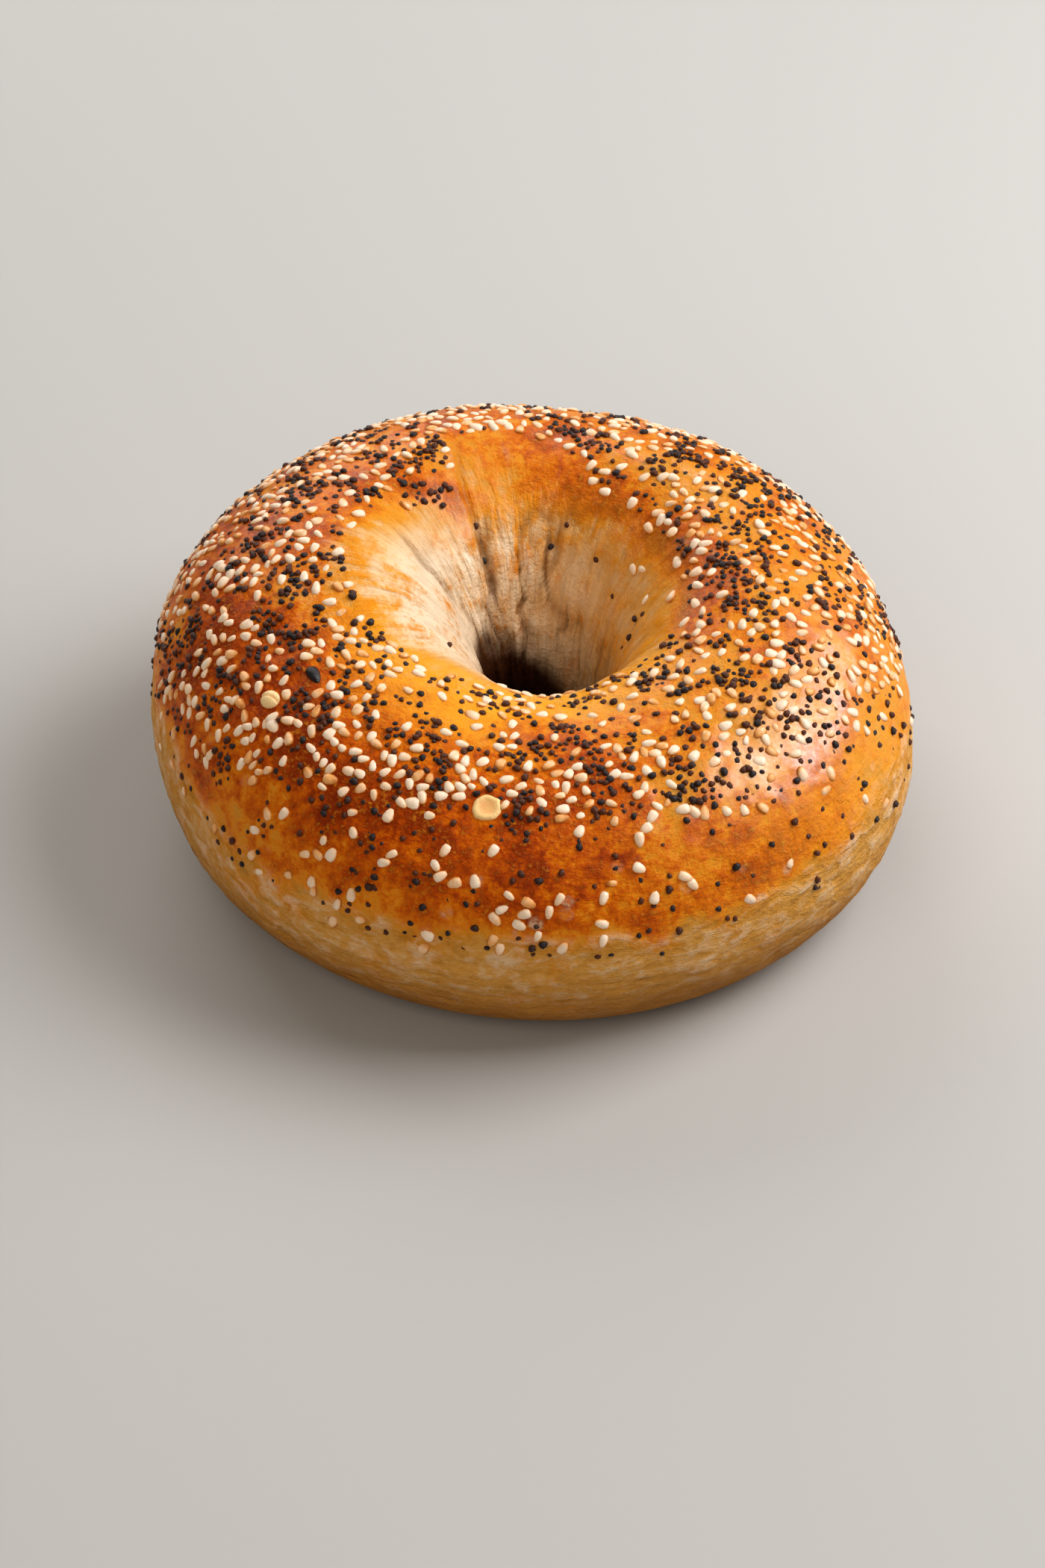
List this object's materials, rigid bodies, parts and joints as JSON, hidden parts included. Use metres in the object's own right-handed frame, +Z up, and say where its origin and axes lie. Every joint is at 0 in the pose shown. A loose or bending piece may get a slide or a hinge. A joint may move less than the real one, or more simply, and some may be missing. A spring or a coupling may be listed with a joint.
{
  "type": "seeded bagel",
  "caption": "Whole baked bagel: a plump ring of dough with a funnel-shaped hole, a browned crust and a topping of sesame and poppy seeds.",
  "frame": {"origin": "middle of the ring, on the plane of its flat base", "axes": "+Z up, +Y towards the taller side with the open seam, +X to the right seen from the low side"},
  "size_m": [0.119, 0.1168, 0.0514],
  "materials": {
    "crust": "baked crust, orange brown on top and pale tan below, semi-gloss",
    "sesame": "hulled cream seed, satin",
    "poppy": "blue-black seed, satin",
    "flake": "dried onion flake, matt pale yellow"
  },
  "bodies": {
    "root": {"bagel": "crust"}
  },
  "joints": []
}
